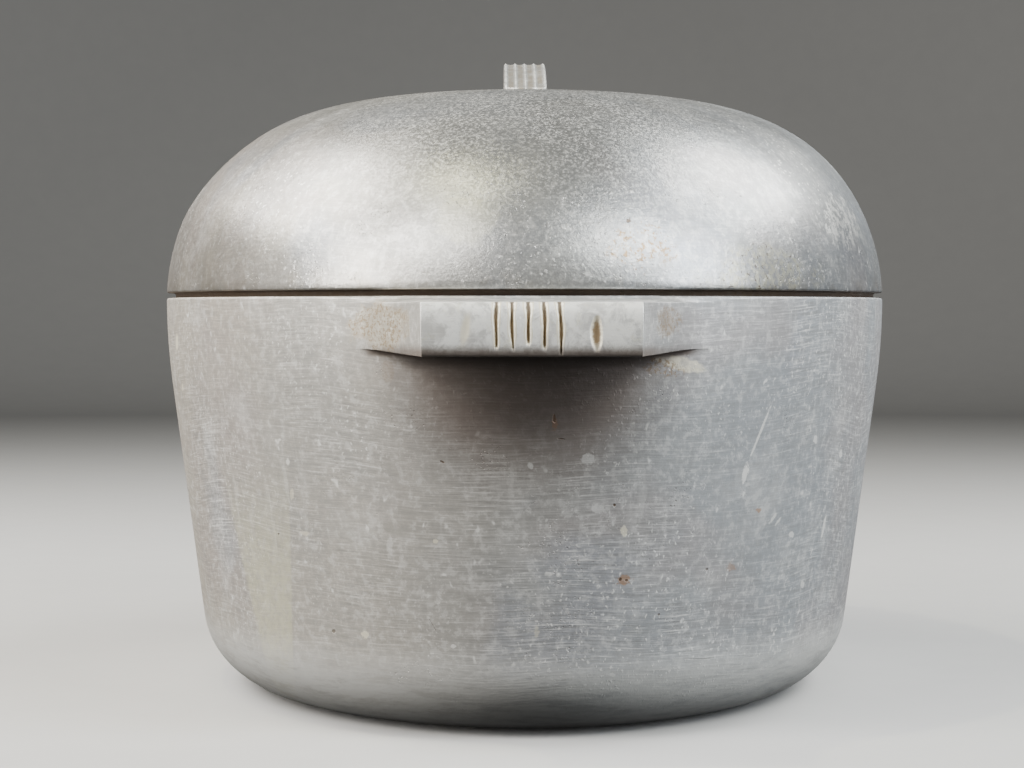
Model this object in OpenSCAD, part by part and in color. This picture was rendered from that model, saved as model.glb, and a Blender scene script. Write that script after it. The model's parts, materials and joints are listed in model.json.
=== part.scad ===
// Covered oval roaster in cast aluminium: a deep pan with a cast handle at each end,
// a domed lid with a bridge handle, and a perforated trivet with two folding bails.
// Units are millimetres. +Z is up, +Y runs along the oval, and the origin is at the
// centre of the flat base.

/* [Pan] */
// Width of the pan across its rim
pan_w = 254; // [248:1:262]
// Length of the pan along its rim, without the end handles
pan_len = 376; // [360:1:396]
// Height of the rim above the table
pan_h = 135; // [126:1:145]
// Thickness of the pan's side wall
pan_wall = 3.6; // [3.2:0.1:4.2]
// Thickness of the pan's floor
pan_floor = 6; // [4:0.5:8]
// How far each side leans in between the rim and the base
pan_taper = 15.8; // [12:0.1:17]
// Radius of the rounding where the side meets the base
base_round = 24; // [20:1:26]
// Depth of the band under the rim where the side turns upright
rim_band = 30; // [20:1:36]

/* [End handles] */
// Width of the handle's front face
grip_w = 62.6; // [56:0.1:70]
// Width across the two flares where they meet the pan
flare_w = 101; // [90:1:110]
// How far the handle stands out from the rim
grip_reach = 28; // [22:1:34]
// Height of the handle's front face
grip_t = 15.5; // [13:0.5:18]
// How far the handle's top edge lies under the rim
grip_drop = 1.9; // [1:0.1:3]
// Radius of the front face's bulge
nose_r = 11.5; // [10:0.5:20]
// Number of grooves in the front face
grooves = 5; // [3:2:7]
// Spacing of the grooves
groove_pitch = 4.55; // [3.5:0.05:6]
// Width of a groove
groove_w = 1.2; // [0.8:0.1:2]

/* [Lid] */
// Rise of the lid from its lower edge to its crown
lid_rise = 68; // [64:1:76]
// Thickness of the lid
lid_wall = 3.2; // [2.8:0.1:4]
// Gap that shows between the lid's edge and the pan's rim
seam = 1.8; // [1:0.1:3]
// Depth of the ledge inside the rim that the lid's skirt stands on
ledge_drop = 4; // [3:0.5:6]

/* [Lid handle] */
// Width of the bridge handle
bridge_w = 14.4; // [12:0.1:17]
// Length of the bridge handle
bridge_len = 124; // [118:1:136]
// Height of the handle's top over the lid's crown
bridge_h = 14.5; // [13.5:0.5:18]
// Thickness of the bridge
bridge_t = 5; // [4.5:0.5:6]
// Number of flutes along the bridge
flutes = 4; // [2:1:5]

/* [Trivet] */
// Width of the trivet plate
trivet_w = 206; // [200:1:208]
// Length of the trivet plate
trivet_len = 312; // [304:1:316]
// Thickness of the trivet plate
trivet_t = 1.4; // [1.2:0.1:2]
// Height of the trivet's feet
foot_h = 11; // [9:0.5:14]
// Diameter of the drain holes
drain_d = 12; // [8:0.5:14]
// Spacing of the drain holes
drain_pitch = 28; // [26:1:34]

/* [Bails] */
// Diameter of the bail wire
wire_d = 3; // [2.6:0.1:3.4]
// Distance between the centres of a bail's arms
bail_w = 62; // [56:1:66]
// Length of a bail's arms
bail_len = 50; // [44:1:56]
// Distance of each bail's pivot from the middle of the trivet
pivot_y = 118; // [112:1:120]

/* [Hidden] */
$fn = 96;
over = 1;
arch_fn = 360;

// Pan
half_w = pan_w / 2;
half_len = pan_len / 2;
bend = rim_band / 2;
lean = pan_taper / (pan_h - bend);
inner_round = base_round - pan_wall;
oval = half_len / half_w;
wall_mid = 4;
inner_oval = (half_len - wall_mid) / (half_w - wall_mid);
round_steps = 8;
band_steps = 6;
base_cut = 2;

// Rim: a thin lip stands around the ledge that carries the lid's skirt
rim_lip = 2.6;
ledge_in = 5.6;
ledge_z = pan_h - ledge_drop;
seat_gap = 0.1;

// End handle
grip_top = pan_h - grip_drop;
grip_bottom = grip_top - grip_t;
grip_front = half_len + grip_reach;
grip_skin = 4.5;
grip_root_share = 0.8;
grip_root = half_len * grip_root_share;
nose_turn = asin(grip_t / 2 / nose_r);
nose_steps = 8;
flare_steps = 8;
pocket_steps = 6;
pocket_gap = 0.8;
groove_depth = 1;
groove_clear = 1.5;
groove_start = 0.75;
groove_from = -groove_start * nose_turn;
groove_past = 12;
groove_to = nose_turn + groove_past;
groove_runout = 5;

// Lid: the dome's outline is a superellipse, steep at the side and nearly flat on top
lid_z = pan_h + seam;
crown_z = lid_z + lid_rise;
dome_side = 4.3;
dome_crown = 1.94;
dome_lean = 0.022;
dome_steps = 20;
dome_gather = 1.15;
crown_flat = 0.18;
skirt_gap = 0.5;
skirt_t = 2.2;
skirt_out = half_w - rim_lip - skirt_gap;
skirt_in = skirt_out - skirt_t;
skirt_z = ledge_z + seat_gap;
lean_at_skirt = 0.2;
pad_rise = 0.4;
pad_root = 1.5;
pad_edge = 1;
pad_z = crown_z + pad_rise;
boss_r = 8;
boss_h = 10;
boss_drop = 0.8;
boss_z = crown_z - lid_wall - boss_drop;

// Lid handle: an arch that stands on two feet
arch_rise = crown_z + bridge_h - pad_z;
arch_r = (pow(bridge_len / 2, 2) + pow(arch_rise, 2)) / (2 * arch_rise);
arch_z = pad_z + arch_rise - arch_r;
foot_len = 28;
foot_mid = (bridge_len - foot_len) / 2;
flute_w = 1.2;
flute_pitch = bridge_w / (flutes + 1);
flute_depth = 0.7;
screw_y = 43;
screw_r = 2.4;
screw_play = 0.05;
screw_hole_r = 2.7;
screw_depth = 5;
screw_tip_gap = 0.5;
screw_head_r = 4.6;
screw_head_h = 2.6;
screw_slot_w = 1.2;
screw_slot_h = 1.2;
washer_r = 6.5;
washer_t = 1;

// Trivet
foot_z = pan_floor + seat_gap;
plate_z = foot_z + foot_h;
plate_top = plate_z + trivet_t;
trivet_edge = 4;
foot_x = 48;
foot_y = 88;
foot_r = 5.5;
foot_tip_r = 4;
foot_bore = 6;
rivet_r = 1.6;
rivet_play = 0.05;
rivet_head_r = 3.2;
rivet_crown_r = 2;
rivet_head_h = 1.3;
rivet_tail_r = 2.6;
rivet_tail_h = 0.7;
rivet_tip_gap = 0.5;
drain_margin = 14;
drain_clear = 12;
drain_row_pitch = drain_pitch * sin(60);
drain_rows = floor(trivet_len / 2 / drain_row_pitch);
drain_columns = ceil(trivet_w / 2 / drain_pitch);

// Bails and their clips
wire_r = wire_d / 2;
wire_play = 0.06;
bail_bend = 9;
pin_len = 12;
clip_bore = wire_r + wire_play;
clip_t = 1;
clip_flat = 0.15;
clip_w = 8;
clip_out = 6.5;
clip_x = bail_w / 2 + clip_out;
clip_clear = drain_clear + 2;
clip_rivet_r = 2.8;
clip_rivet_h = 1;
clip_tab = 9.5;
clip_rivet = 6;
pivot_z = plate_top + clip_bore + clip_t - clip_flat;

// Sideways distance from the middle of the pan to its outside, at height z
function outer_x(z) =
    let (depth = pan_h - z)
    half_w
        - lean * (depth < rim_band ? depth * depth / (4 * bend) : depth - bend)
        - round_loss(base_round, z);

// The same for the inside, which is upright from the ledge down through the band
function inner_x(z) =
    min(half_w - pan_wall - lean * (pan_h - z - bend), half_w - ledge_in)
        - round_loss(inner_round, z - pan_floor);

// How far a bottom rounding of radius r brings the side in, at height z over the bottom
function round_loss(r, z) = z < r ? r - sqrt(r * r - pow(r - z, 2)) : 0;

// Heights that follow a rounding of radius r, and heights spread through the rim's band
function round_heights(r) = [for (i = [0 : round_steps]) r * (1 - cos(90 * i / round_steps))];
function band_heights() = [for (i = [0 : band_steps]) pan_h - rim_band * (1 - i / band_steps)];

// Half section of the pan's outside, run on below the base so that the base is cut flat
function pan_outline() = concat(
    [[0, -base_cut], [outer_x(0), -base_cut]],
    [for (z = round_heights(base_round)) [outer_x(z), z]],
    [for (z = band_heights()) [outer_x(z), z]],
    [[0, pan_h]]);

// Half section of the space inside the pan
function pan_space_outline() = concat(
    [[0, pan_floor]],
    [for (z = round_heights(inner_round)) [inner_x(pan_floor + z), pan_floor + z]],
    [[inner_x(pan_h - rim_band), pan_h - rim_band],
     [half_w - ledge_in, ledge_z],
     [half_w - rim_lip, ledge_z],
     [half_w - rim_lip, pan_h + over],
     [0, pan_h + over]]);

// Point of a dome of half width w and the given rise, at angle a up from its edge
function dome_point(w, rise, a) =
    let (up = pow(sin(a), 2 / dome_crown), out = pow(cos(a), 2 / dome_side))
    [w * out * (1 - dome_lean * up), lid_z + rise * up];

// Angles of a dome's points, gathered towards the crown, which is flat inside the last
function dome_angles() =
    [for (i = [0 : dome_steps - 1]) 90 * (1 - pow(1 - i / dome_steps, dome_gather))];

function lid_outline() = concat(
    [[0, lid_z]],
    [for (a = dome_angles()) dome_point(half_w, lid_rise, a)],
    [[half_w * crown_flat, crown_z], [0, crown_z]]);

// The space inside the lid starts upright within the skirt and then follows the dome
function lid_space_outline() = concat(
    [[0, skirt_z - over], [skirt_in, skirt_z - over]],
    [[skirt_in, dome_height(skirt_in)]],
    [for (a = dome_angles())
        let (p = dome_point(half_w - lid_wall, lid_rise - lid_wall, a))
        if (p[0] < skirt_in && p[1] > dome_height(skirt_in)) p],
    [[half_w * crown_flat, crown_z - lid_wall], [0, crown_z - lid_wall]]);

// Height at which the inside of the dome comes in to x, for an x close to its edge
function dome_height(x) =
    let (out = x / (half_w - lid_wall) / (1 - dome_lean * lean_at_skirt))
    lid_z + (lid_rise - lid_wall) * pow(1 - pow(out, dome_side), 1 / dome_crown);

// Distance from the middle of the pan to the end of the rim's oval, at x to the side
function end_y(x) = half_len * sqrt(1 - pow(x / half_w, 2));

// Outline of one flare in plan, from the front corner back to the pan
function flare_points(side) =
    let (x0 = grip_w / 2, x1 = flare_w / 2, y1 = end_y(x1) - over)
    [for (i = [0 : flare_steps])
        let (a = 90 * i / flare_steps)
        [side * (x1 - (x1 - x0) * pow(cos(a), 2)), y1 + (grip_front - y1) * (1 - sin(a))]];

function reversed(list) = [for (i = [len(list) - 1 : -1 : 0]) list[i]];

// Plan of an end handle
function grip_plan() = concat(
    flare_points(1),
    [[flare_w / 2, grip_root], [-flare_w / 2, grip_root]],
    reversed(flare_points(-1)));

// Bulging front of an end handle in section, moved back by inset, between two turns
function nose_points(inset, from, to) =
    [for (i = [0 : nose_steps])
        let (a = from + (to - from) * i / nose_steps)
        [grip_front - nose_r + (nose_r - inset) * cos(a),
         (grip_top + grip_bottom) / 2 + (nose_r - inset) * sin(a)]];

// Section of an end handle, with its top rising to the rim
function grip_section() = concat(
    [[grip_root, grip_bottom]],
    nose_points(0, -nose_turn, nose_turn),
    [[half_len - rim_lip, pan_h], [grip_root, pan_h]]);

// Section of a groove: it runs out of the top and stops short of the lower edge
function groove_section() = concat(
    nose_points(groove_depth, groove_from, groove_to),
    reversed(nose_points(-groove_clear, groove_from - groove_runout, groove_to)));

// Plan of the finger pocket under an end handle, clear of the pan's wall
function pocket_plan() =
    let (x0 = grip_w / 2 - grip_skin, y1 = grip_front - nose_r * (1 - cos(nose_turn)) - grip_skin)
    concat(
        [for (i = [0 : pocket_steps])
            let (x = x0 * (2 * i / pocket_steps - 1))
            [x, end_y(x) + pocket_gap]],
        [[x0, y1], [-x0, y1]]);

// Centres of the drain holes: rows that alternate, clear of the edge, feet and clips
function drain_places() =
    [for (row = [-drain_rows : drain_rows], i = [-drain_columns : drain_columns])
        let (x = (i + (row % 2 == 0 ? 0 : 0.5)) * drain_pitch,
             y = row * drain_row_pitch,
             out = norm([x / (trivet_w / 2 - drain_margin), y / (trivet_len / 2 - drain_margin)]),
             to_foot = norm([abs(x) - foot_x, abs(y) - foot_y]),
             to_clip = norm([abs(x) - clip_x, abs(y) - pivot_y - clip_rivet / 2]))
        if (out < 1 && to_foot > drain_clear && to_clip > clip_clear) [x, y]];

// A solid of revolution whose plan is drawn out into an oval, made quarter by quarter
module oval_solid(points, stretch) {
    for (quarter = [0 : 3])
        scale([1, stretch, 1]) rotate([0, 0, 90 * quarter])
            rotate_extrude(angle = 90) polygon(points);
}

// A flat oval plate standing on z
module oval_plate(w, length, z, h) {
    oval_solid([[0, z], [w / 2, z], [w / 2, z + h], [0, z + h]], length / w);
}

// A child section in the YZ plane, drawn out along X and centred
module along_x(width) {
    rotate([90, 0, 90]) translate([0, 0, -width / 2]) linear_extrude(width) children();
}

module both_ends() {
    for (turn = [0, 180]) rotate([0, 0, turn]) children();
}

// End handle at the +Y end, before it joins the pan
module grip_block() {
    intersection() {
        translate([0, 0, grip_bottom - over]) linear_extrude(grip_t + grip_drop + over) polygon(grip_plan());
        along_x(flare_w + 2 * over) polygon(grip_section());
    }
}

module grip_pocket() {
    translate([0, 0, grip_bottom - over]) linear_extrude(grip_t - grip_skin + over) polygon(pocket_plan());
}

module grip_grooves() {
    for (i = [0 : grooves - 1])
        translate([(i - (grooves - 1) / 2) * groove_pitch, 0, 0])
            along_x(groove_w) polygon(groove_section());
}

// Deep oval pan, cast in one piece with its two end handles
module pan() {
    color("silver")
        difference() {
            union() {
                oval_solid(pan_outline(), oval);
                both_ends() grip_block();
            }
            translate([-half_w, -half_len, -2 * base_cut]) cube([pan_w, pan_len, 2 * base_cut]);
            oval_solid(pan_space_outline(), inner_oval);
            both_ends() grip_pocket();
            both_ends() grip_grooves();
        }
}

// Domed lid with a skirt that drops inside the rim, and pads and bosses for its handle
module lid() {
    color("silver")
        difference() {
            union() {
                oval_solid(lid_outline(), oval);
                oval_plate(2 * skirt_out, 2 * skirt_out * inner_oval, skirt_z, lid_z - skirt_z + over);
                both_ends() handle_pad();
            }
            difference() {
                oval_solid(lid_space_outline(), inner_oval);
                both_ends() translate([0, screw_y, boss_z]) cylinder(r = boss_r, h = boss_h);
            }
            both_ends() translate([0, screw_y, boss_z - over]) cylinder(r = screw_hole_r, h = boss_h);
        }
}

// Pad on the crown that a foot of the handle stands on
module handle_pad() {
    pad_w = bridge_w + 2 * pad_edge;
    pad_len = foot_len + 3 * pad_edge;
    translate([-pad_w / 2, foot_mid - pad_len / 2, crown_z - pad_root])
        cube([pad_w, pad_len, pad_rise + pad_root]);
}

// Flat ring in the YZ plane about the arch's axis, for the bridge and its flutes
module arch_ring(outer, inner) {
    translate([0, arch_z]) difference() {
        circle(r = outer, $fn = arch_fn);
        circle(r = inner, $fn = arch_fn);
    }
}

// Bridge handle: a fluted arch with a solid foot at each end
module lid_handle() {
    color("silver")
        difference() {
            along_x(bridge_w) bridge_section();
            for (i = [0 : flutes - 1])
                translate([(i - (flutes - 1) / 2) * flute_pitch, 0, 0])
                    along_x(flute_w) arch_ring(arch_r + over, arch_r - flute_depth);
            both_ends() translate([0, screw_y, pad_z - over])
                cylinder(r = screw_r + screw_play, h = screw_depth + over);
        }
}

module bridge_section() {
    intersection() {
        translate([-bridge_len / 2, pad_z]) square([bridge_len, 2 * bridge_h]);
        union() {
            arch_ring(arch_r, arch_r - bridge_t);
            for (turn = [0, 1]) mirror([turn, 0])
                intersection() {
                    translate([bridge_len / 2 - foot_len, pad_z]) square([foot_len, bridge_h]);
                    translate([0, arch_z]) circle(r = arch_r - bridge_t / 2, $fn = arch_fn);
                }
        }
    }
}

// Two slotted screws, driven up into the handle from inside the lid
module lid_handle_screws() {
    color("gray") both_ends() translate([0, screw_y, boss_z - washer_t]) {
        difference() {
            translate([0, 0, -screw_head_h]) cylinder(r = screw_head_r, h = screw_head_h);
            translate([-screw_head_r - over, -screw_slot_w / 2, -screw_head_h - over])
                cube([2 * (screw_head_r + over), screw_slot_w, screw_slot_h + over]);
        }
        translate([0, 0, -screw_slot_h])
            cylinder(r = screw_r, h = pad_z + screw_depth - screw_tip_gap - boss_z + washer_t + screw_slot_h);
    }
}

module lid_handle_washers() {
    color("lightgray") both_ends() translate([0, screw_y, boss_z - washer_t])
        difference() {
            cylinder(r = washer_r, h = washer_t);
            translate([0, 0, -over]) cylinder(r = screw_hole_r, h = washer_t + 2 * over);
        }
}

// Perforated plate with its edge turned down
module trivet_plate() {
    color("lightgray")
        difference() {
            oval_plate(trivet_w, trivet_len, plate_top - trivet_edge, trivet_edge);
            oval_plate(trivet_w - 2 * trivet_t, trivet_len - 2 * trivet_t,
                       plate_top - trivet_edge - over, trivet_edge + over - trivet_t);
            for (p = drain_places()) plate_hole(p[0], p[1], drain_d / 2);
            for (x = [-1, 1], y = [-1, 1]) {
                plate_hole(x * foot_x, y * foot_y, rivet_r + rivet_play);
                plate_hole(x * clip_x, y * (pivot_y + clip_rivet), rivet_r + rivet_play);
            }
        }
}

module plate_hole(x, y, r) {
    translate([x, y, plate_z - over]) cylinder(r = r, h = trivet_t + 2 * over);
}

// One foot: a short peg that narrows to its tip, with a blind hole for its rivet
module trivet_foot(x, y) {
    color("silver") translate([x * foot_x, y * foot_y, foot_z])
        rotate_extrude() polygon([
            [0, 0], [foot_tip_r, 0], [foot_r, foot_r - foot_tip_r], [foot_r, foot_h],
            [rivet_r + rivet_play, foot_h], [rivet_r + rivet_play, foot_h - foot_bore],
            [0, foot_h - foot_bore]]);
}

// Rivets through the plate into the feet
module trivet_foot_rivets() {
    shank = trivet_t + foot_bore - rivet_tip_gap;
    color("silver") for (x = [-1, 1], y = [-1, 1])
        translate([x * foot_x, y * foot_y, plate_top])
            rotate_extrude() polygon([
                [0, -shank], [rivet_r, -shank], [rivet_r, 0],
                [rivet_head_r, 0], [rivet_crown_r, rivet_head_h], [0, rivet_head_h]]);
}

// Wire loop that lies flat on the plate, turned in at the pivot by its two pins
module bail(y) {
    side = bail_w / 2;
    far = bail_len - bail_bend;
    color("gray") translate([0, y * pivot_y, pivot_z]) rotate([0, 0, y > 0 ? 180 : 0]) {
        for (turn = [0, 1]) mirror([turn, 0, 0]) {
            translate([side, 0, 0]) rotate([0, 90, 0]) cylinder(r = wire_r, h = pin_len);
            translate([side, 0, 0]) sphere(r = wire_r);
            translate([side, 0, 0]) rotate([-90, 0, 0]) cylinder(r = wire_r, h = far);
            translate([side - bail_bend, far, 0])
                rotate_extrude(angle = 90) translate([bail_bend, 0]) circle(r = wire_r);
        }
        translate([-side + bail_bend, bail_len, 0]) rotate([0, 90, 0])
            cylinder(r = wire_r, h = bail_w - 2 * bail_bend);
    }
}

// Clip that holds a bail's pin: a curled sleeve and a tab riveted to the plate
module bail_clip(x, y) {
    color("silver") translate([x * clip_x, y * pivot_y, 0]) rotate([0, 0, y > 0 ? 180 : 0])
        difference() {
            union() {
                translate([-clip_w / 2, 0, pivot_z]) rotate([0, 90, 0])
                    cylinder(r = clip_bore + clip_t, h = clip_w);
                translate([-clip_w / 2, -clip_tab, plate_top]) cube([clip_w, clip_tab, clip_t]);
            }
            translate([-clip_w / 2 - over, 0, pivot_z]) rotate([0, 90, 0])
                cylinder(r = clip_bore, h = clip_w + 2 * over);
            translate([-clip_w, -2 * clip_tab, plate_top - clip_t]) cube([2 * clip_w, 4 * clip_tab, clip_t]);
            translate([0, -clip_rivet, plate_top - over])
                cylinder(r = rivet_r + rivet_play, h = clip_t + 2 * over);
        }
}

// Rivets through the clips' tabs, closed over under the plate
module bail_clip_rivets() {
    tab_top = plate_top + clip_t;
    color("silver") for (x = [-1, 1], y = [-1, 1])
        translate([x * clip_x, y * (pivot_y + clip_rivet), 0])
            rotate_extrude() polygon([
                [0, plate_z - rivet_tail_h], [rivet_tail_r, plate_z - rivet_tail_h],
                [rivet_tail_r, plate_z], [rivet_r, plate_z],
                [rivet_r, tab_top], [clip_rivet_r, tab_top],
                [rivet_crown_r, tab_top + clip_rivet_h], [0, tab_top + clip_rivet_h]]);
}

pan();
lid();
lid_handle();
lid_handle_screws();
lid_handle_washers();
trivet_plate();
trivet_foot_rivets();
trivet_foot(-1, -1);  // trivet_foot_front_left
trivet_foot(1, -1);  // trivet_foot_front_right
trivet_foot(-1, 1);  // trivet_foot_rear_left
trivet_foot(1, 1);  // trivet_foot_rear_right
bail(-1);  // bail_front
bail(1);  // bail_rear
bail_clip_rivets();
bail_clip(-1, -1);  // bail_clip_front_left
bail_clip(1, -1);  // bail_clip_front_right
bail_clip(-1, 1);  // bail_clip_rear_left
bail_clip(1, 1);  // bail_clip_rear_right
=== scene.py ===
"""Visual model of the covered oval roaster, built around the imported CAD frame.

Lengths are in metres, +Z is up and +Y runs along the oval.
"""
import json
import math

import bpy
import numpy as np
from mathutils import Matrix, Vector


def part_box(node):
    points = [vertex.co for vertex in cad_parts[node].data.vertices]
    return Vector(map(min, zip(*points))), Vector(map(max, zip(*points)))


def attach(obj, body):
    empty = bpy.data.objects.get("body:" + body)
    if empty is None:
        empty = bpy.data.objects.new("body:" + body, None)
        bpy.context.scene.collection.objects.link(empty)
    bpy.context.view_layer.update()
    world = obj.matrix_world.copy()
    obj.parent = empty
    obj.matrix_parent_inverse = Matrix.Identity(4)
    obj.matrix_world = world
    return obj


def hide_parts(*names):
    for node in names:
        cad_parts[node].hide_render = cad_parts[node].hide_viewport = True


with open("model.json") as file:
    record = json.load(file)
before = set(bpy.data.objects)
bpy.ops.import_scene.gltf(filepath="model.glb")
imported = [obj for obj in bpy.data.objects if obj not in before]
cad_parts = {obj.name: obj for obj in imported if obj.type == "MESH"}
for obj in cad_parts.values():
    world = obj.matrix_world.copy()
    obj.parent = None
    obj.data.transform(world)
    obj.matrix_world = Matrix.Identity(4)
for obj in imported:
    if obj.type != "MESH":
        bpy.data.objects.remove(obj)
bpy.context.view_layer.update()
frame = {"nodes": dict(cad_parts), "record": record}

MM = 0.001

# ---------------------------------------------------------------- sizes
# Measured on the CAD frame; the sections below repeat the part's source
PAN_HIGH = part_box("pan")[1]
LID_LOW, LID_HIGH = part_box("lid")
HANDLE_LOW, HANDLE_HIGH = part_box("lid_handle")
SCREW_LOW, SCREW_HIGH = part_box("lid_handle_screws")
WASHER_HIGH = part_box("lid_handle_washers")[1]

HALF_W = LID_HIGH.x
HALF_LEN = LID_HIGH.y
RIM_Z = PAN_HIGH.z
GRIP_FRONT = PAN_HIGH.y

# Pan section
OVAL = HALF_LEN / HALF_W
WALL = 3.6 * MM
FLOOR = 6 * MM
TAPER = 15.8 * MM
BASE_ROUND = 24 * MM
RIM_BAND = 30 * MM
BEND = RIM_BAND / 2
LEAN = TAPER / (RIM_Z - BEND)
RIM_LIP = 2.6 * MM
LEDGE_IN = 5.6 * MM
LEDGE_DROP = 4 * MM
INSET = 4 * MM
INSIDE_OVAL = (HALF_LEN - INSET) / (HALF_W - INSET)
EDGE = 0.7 * MM

# End handles
FACE_HALF = 31.3 * MM
FLARE_HALF = 50.5 * MM
GRIP_TOP = RIM_Z - 1.9 * MM
GRIP_T = 15.5 * MM
GRIP_LOW = GRIP_TOP - GRIP_T
FACE_BULGE = 3.4 * MM
LOW_BULGE = 1.7 * MM
FLARE_LIFT = 1.7 * MM
FLARE_BULGE = 0.9 * MM
UNDER_FILLET = 0.5 * MM
POCKET_HALF = 26 * MM
POCKET_DEPTH = 10 * MM
EDGE_WAVE = 0.25 * MM
FACE_STEP = 0.35 * MM
GROOVE_PITCH = 4.55 * MM
GROOVE_HALF = 0.72 * MM
GROOVE_DEPTH = 1.1 * MM
GROOVE_SHIFT = -1.0 * MM
GROOVE_WANDER = 0.12 * MM
GROOVE_BURR = 0.14 * MM
NICK_X, NICK_HALF, NICK_DEPTH = 18 * MM, 1.7 * MM, 1.0 * MM
DENT_X, DENT_HALF, DENT_DEPTH = -18.8 * MM, 1.2 * MM, 0.35 * MM
# Lower end of each groove, as a share of the face's height, and how far it leans
GROOVE_ENDS = (0.13, 0.11, 0.20, 0.12, 0.03)
GROOVE_LEANS = (0.1 * MM, -0.5 * MM, -0.4 * MM, -0.5 * MM, -0.6 * MM)

# Lid section
SEAM = 1.8 * MM
LID_Z = RIM_Z + SEAM
LID_RISE = 68 * MM
CROWN_Z = LID_Z + LID_RISE
LID_WALL = 3.2 * MM
DOME_SIDE, DOME_CROWN, DOME_LEAN = 4.3, 1.94, 0.022
SKIRT_OUT = HALF_W - RIM_LIP - 0.5 * MM
SKIRT_IN = SKIRT_OUT - 2.2 * MM
PAD_Z = HANDLE_LOW.z
BOSS_Z = WASHER_HIGH.z
SCREW_Y = SCREW_HIGH.y - (SCREW_HIGH.x - SCREW_LOW.x) / 2
BOSS_R = 8 * MM
CROWN_R = 46 * MM
SLUMP = 0.030
LID_COLUMNS = 420

# Lid handle
BRIDGE_HALF_W = HANDLE_HIGH.x
BRIDGE_HALF_LEN = HANDLE_HIGH.y
BRIDGE_FLAT = BRIDGE_HALF_W - 0.6 * MM
BRIDGE_T = 5 * MM
FOOT_LEN = 28 * MM
FLUTES = 4
FLUTE_DEEP = 0.5 * MM
FLUTE_STEPS = 12


# ---------------------------------------------------------------- mesh helpers
def smooth(value, low, high):
    """0 below low, 1 above high, and an even ease between them."""
    t = np.clip((np.asarray(value, float) - low) / (high - low), 0, 1)
    return t * t * (3 - 2 * t)


def turned(degrees):
    """Sine and cosine of an angle in degrees."""
    return math.sin(math.radians(degrees)), math.cos(math.radians(degrees))


def loft(name, rings, first_point=None, last_point=None, wrap=True):
    """A mesh through rings of equally many points, closed with a fan at each end point given."""
    count = len(rings[0])
    points = np.concatenate(rings)
    faces = []
    across = count if wrap else count - 1
    for r in range(len(rings) - 1):
        low, high = r * count, (r + 1) * count
        for c in range(across):
            d = (c + 1) % count
            faces.append((low + c, low + d, high + d, high + c))
    for point, base, flip in ((first_point, 0, True), (last_point, (len(rings) - 1) * count, False)):
        if point is None:
            continue
        centre = len(points)
        points = np.vstack([points, point])
        for c in range(count):
            d = (c + 1) % count
            pair = (base + d, base + c) if flip else (base + c, base + d)
            faces.append((*pair, centre))
    mesh = bpy.data.meshes.new(name)
    mesh.from_pydata([tuple(p) for p in points], [], faces)
    mesh.validate()
    mesh.shade_smooth()
    obj = bpy.data.objects.new(name, mesh)
    bpy.context.scene.collection.objects.link(obj)
    return obj


def stand_for(piece, body, slot, *nodes):
    """Puts a piece on its body in place of CAD nodes. The slot is not used."""
    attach(piece, body)
    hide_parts(*nodes)
    return piece


# ---------------------------------------------------------------- pan
def round_loss(r, z):
    """How far a foot rounded to radius r draws a wall in at height z."""
    return r - math.sqrt(r * r - (r - z) ** 2) if z < r else 0.0


def pan_outside(z):
    """Half width of the pan's outside at height z."""
    depth = RIM_Z - z
    drop = depth * depth / (4 * BEND) if depth < RIM_BAND else depth - BEND
    return HALF_W - LEAN * drop - round_loss(BASE_ROUND, z)


def pan_inside(z):
    """Half width of the pan's inside at height z."""
    leaning = HALF_W - WALL - LEAN * (RIM_Z - z - BEND)
    return min(leaning, HALF_W - LEDGE_IN) - round_loss(BASE_ROUND - WALL, z - FLOOR)


def end_y(x):
    """How far along the oval the rim reaches at x across."""
    return HALF_LEN * math.sqrt(1 - (x / HALF_W) ** 2)


def handle_columns():
    """Columns across one end, as (x, how far the handle stands out, share of the flat face)."""
    face = list(np.arange(0, FACE_HALF - 0.3 * MM, FACE_STEP)) + [FACE_HALF - 0.2 * MM, FACE_HALF]
    columns = [(x, GRIP_FRONT - end_y(x), 1.0) for x in face]
    # Along the flare, closer together near the face
    steps = 22
    for i in range(1, steps + 1):
        share = (i / steps) ** 2.2
        x = FACE_HALF + (FLARE_HALF - FACE_HALF) * share
        columns.append((x, (GRIP_FRONT - end_y(FACE_HALF)) * (1 - math.sqrt(share)) ** 1.3, 0.0))
    return [(-x, d, f) for x, d, f in reversed(columns[1:])] + columns


def pan_columns():
    """All columns round the pan: turn about the oval, handle depth and face share."""
    end = handle_columns()
    turn_end = math.asin(FLARE_HALF / HALF_W)
    side_steps = 64
    side = [(turn_end + (math.pi - 2 * turn_end) * i / side_steps, 0.0, 0.0)
            for i in range(1, side_steps)]
    front = [(math.asin(x / HALF_W), d, f) for x, d, f in end]
    half = front + side
    return half + [(t + math.pi, d, f) for t, d, f in half]


COLUMNS = pan_columns()
TURN = np.array([c[0] for c in COLUMNS])
DEPTH = np.array([c[1] for c in COLUMNS])
FACE = np.array([c[2] for c in COLUMNS])
SIN, COS = np.sin(TURN), -np.cos(TURN)
OUTWARD = np.where(COS < 0, -1.0, 1.0)


def oval_ring(half_w, z, stretch, sin=SIN, cos=COS):
    """A ring of the given half width at height z; stretch is its length over its width."""
    z = np.broadcast_to(z, sin.shape)
    return np.stack([half_w * sin, half_w * stretch * cos, z], axis=1)


def handle_ring(out, z):
    """A ring on the wall at height z, pushed out along the oval where the handle is."""
    half_w = np.array([pan_outside(v) for v in np.broadcast_to(z, SIN.shape)])
    ring = oval_ring(half_w, z, OVAL)
    ring[:, 1] += OUTWARD * out
    return ring


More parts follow.
